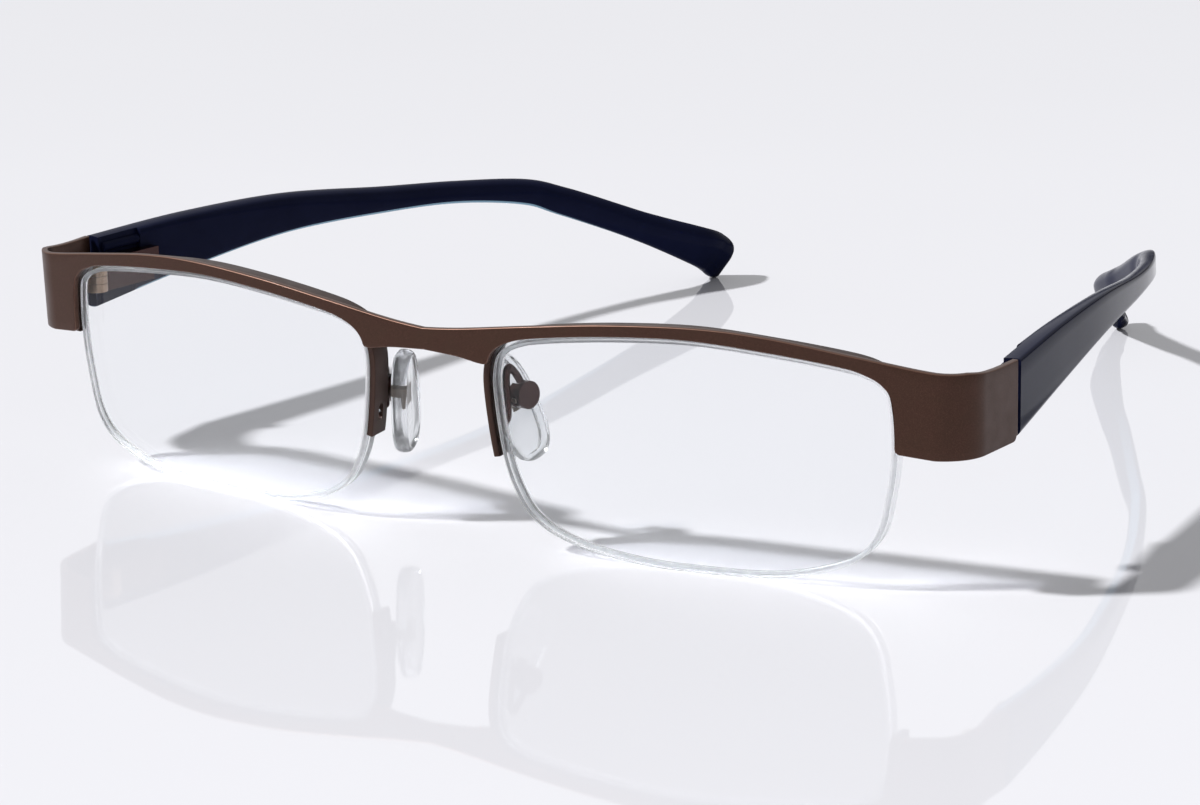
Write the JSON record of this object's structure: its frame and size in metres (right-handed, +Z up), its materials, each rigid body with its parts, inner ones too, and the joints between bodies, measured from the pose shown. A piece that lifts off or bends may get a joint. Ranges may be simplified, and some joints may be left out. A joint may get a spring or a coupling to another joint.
{
  "type": "half-rim reading glasses",
  "caption": "Reading glasses with a bent metal brow plate, clear lenses hung on a nylon cord, rocking nose pads and sprung folding temples.",
  "frame": {"origin": "middle of the bounding box's base, on the surface the lenses and temple tips stand on", "axes": "+X to the wearer's left, +Y from the front to the temple tips, +Z up"},
  "size_m": [0.1384, 0.1431, 0.0308],
  "materials": {
    "brown_lacquer": "satin brown lacquer on metal",
    "navy_acetate": "polished translucent navy acetate",
    "clear_lens": "clear polished plastic lens",
    "clear_nylon": "clear nylon",
    "clear_silicone": "clear soft silicone",
    "grey_insert": "dull stamped metal",
    "steel": "plain machined steel"
  },
  "bodies": {
    "front": {"brow_plate": "brown_lacquer", "left_rim": "brown_lacquer", "right_rim": "brown_lacquer", "left_rim_liner": "clear_nylon", "right_rim_liner": "clear_nylon", "left_lens": "clear_lens", "right_lens": "clear_lens", "left_lens_cord": "clear_nylon", "right_lens_cord": "clear_nylon", "left_pad_arm": "brown_lacquer", "right_pad_arm": "brown_lacquer", "left_pad_box": "brown_lacquer", "right_pad_box": "brown_lacquer", "left_pad_screw": "steel", "right_pad_screw": "steel", "left_end_hinge": "brown_lacquer", "right_end_hinge": "brown_lacquer", "left_hinge_screw": "steel", "right_hinge_screw": "steel"},
    "left_hinge_half": {"left_hinge_tongue": "steel", "left_spring_stop": "steel"},
    "left_arm": {"left_temple": "navy_acetate", "left_spring_case": "brown_lacquer", "left_case_plug": "steel", "left_hinge_spring": "steel"},
    "left_pad": {"left_nose_pad": "clear_silicone", "left_pad_insert": "grey_insert"},
    "right_hinge_half": {"right_hinge_tongue": "steel", "right_spring_stop": "steel"},
    "right_arm": {"right_temple": "navy_acetate", "right_spring_case": "brown_lacquer", "right_case_plug": "steel", "right_hinge_spring": "steel"},
    "right_pad": {"right_nose_pad": "clear_silicone", "right_pad_insert": "grey_insert"}
  },
  "joints": [
    {"name": "left_temple_fold", "type": "hinge", "parent": "front", "child": "left_hinge_half", "pos_m": [0.0651, -0.05092, 0.02175], "axis": [0, 0, 1], "range_deg": [0, 77]},
    {"name": "left_spring_pull", "type": "slide", "parent": "left_hinge_half", "child": "left_arm", "axis": [-0.1132, 0.9936, 0], "range_m": [0, 0.0012], "stiffness_N_per_m": 6000, "springref_m": -0.0005, "deforming": ["left_hinge_spring"]},
    {"name": "left_pad_rock", "type": "hinge", "parent": "front", "child": "left_pad", "pos_m": [0.01041, -0.06391, 0.01855], "axis": [-0.2374, -0.9297, -0.2815], "range_deg": [-16, 0]},
    {"name": "right_temple_fold", "type": "hinge", "parent": "front", "child": "right_hinge_half", "pos_m": [-0.0651, -0.05092, 0.02175], "axis": [0, 0, -1], "range_deg": [0, 66]},
    {"name": "right_spring_pull", "type": "slide", "parent": "right_hinge_half", "child": "right_arm", "axis": [0.1132, 0.9936, 0], "range_m": [0, 0.0012], "stiffness_N_per_m": 6000, "springref_m": -0.0005, "deforming": ["right_hinge_spring"]},
    {"name": "right_pad_rock", "type": "hinge", "parent": "front", "child": "right_pad", "pos_m": [-0.01041, -0.06381, 0.01645], "axis": [-0.2374, 0.9297, 0.2815], "range_deg": [-8, 8]}
  ]
}
